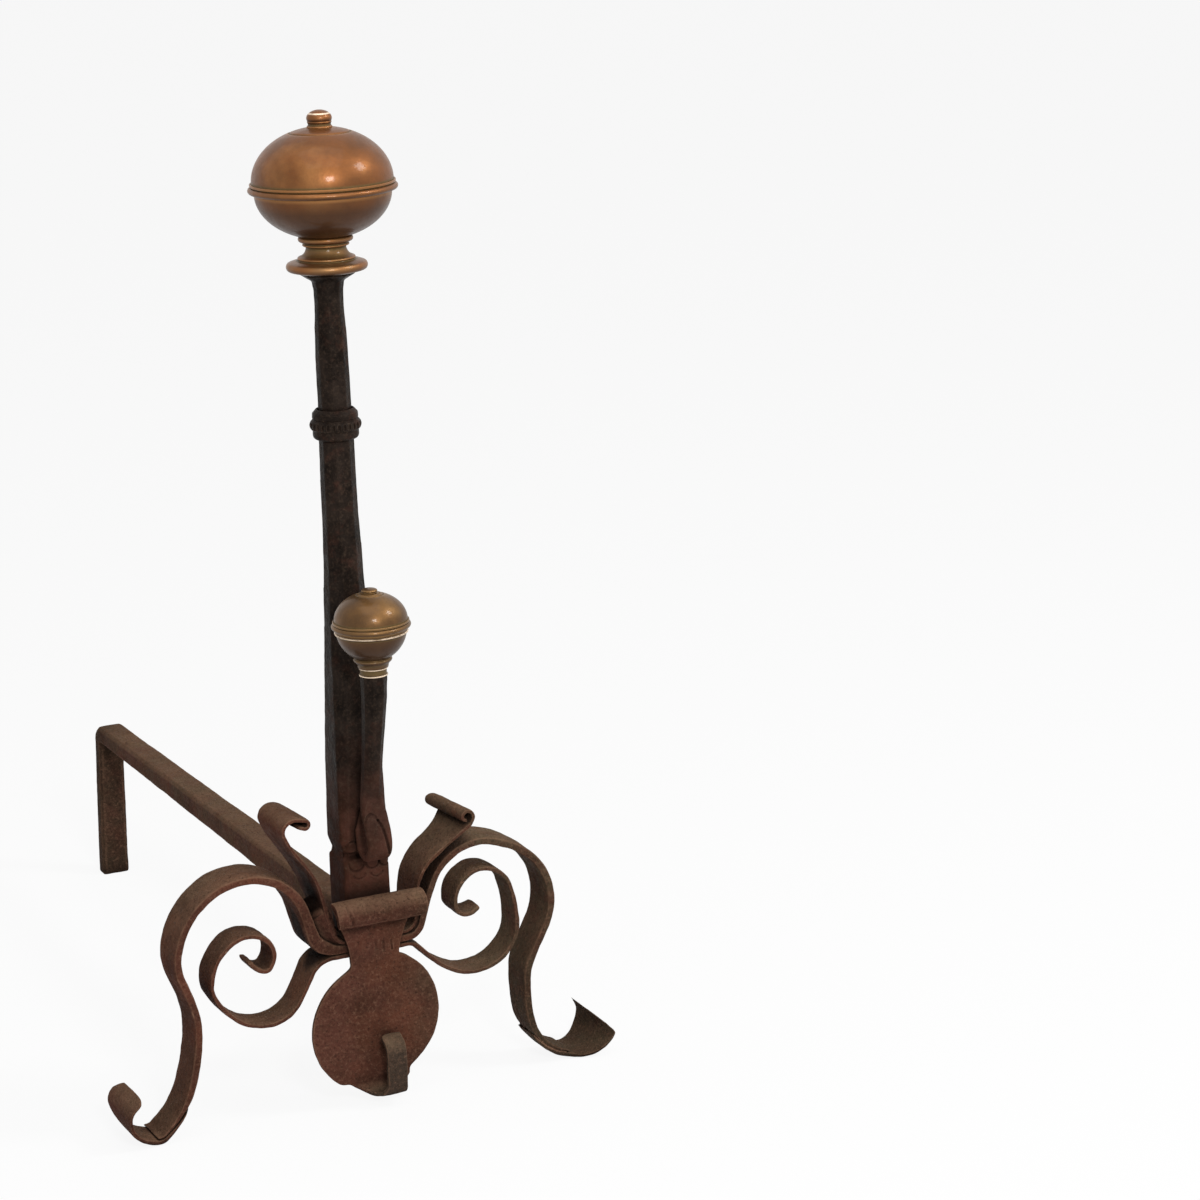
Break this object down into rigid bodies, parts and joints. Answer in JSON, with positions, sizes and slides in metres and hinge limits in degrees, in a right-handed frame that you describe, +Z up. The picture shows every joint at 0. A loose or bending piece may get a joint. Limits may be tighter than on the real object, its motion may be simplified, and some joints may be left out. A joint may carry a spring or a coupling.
{
  "type": "andiron",
  "caption": "Tall wrought-iron andiron on scrolled strap legs, with a billet bar and rear leg behind, a front disc and loop, and brass ball finials on a tall post and a short one.",
  "frame": {"origin": "on the hearth plane, under the middle of the andiron's bounding box; the main post stands on x = 0 about 260 mm in front of it", "axes": "+Z up from the hearth, +X to the viewer's right seen from the front, the front with its disc and small ball faces -Y and the billet bar runs back along +Y"},
  "size_m": [0.3768, 0.6695, 0.7108],
  "materials": {
    "black_iron": "forged, waxed and worn",
    "rusty_iron": "forged, rust-brown patina",
    "old_brass": "aged, smoke-toned, hand worn"
  },
  "bodies": {
    "root": {"main_post": "black_iron", "post_collar": "black_iron", "billet_bar": "rusty_iron", "leg_strap": "rusty_iron", "left_toe": "rusty_iron", "right_toe": "rusty_iron", "leaf_strap": "rusty_iron", "volute_strap": "rusty_iron", "front_plate": "rusty_iron", "front_post": "black_iron", "finial_foot": "old_brass", "finial_bowl": "old_brass", "finial_dome": "old_brass", "finial_button": "old_brass", "ball_ferrule": "old_brass", "ball_collar": "old_brass", "ball_bowl": "old_brass", "ball_dome": "old_brass", "ball_button": "old_brass"}
  },
  "joints": []
}
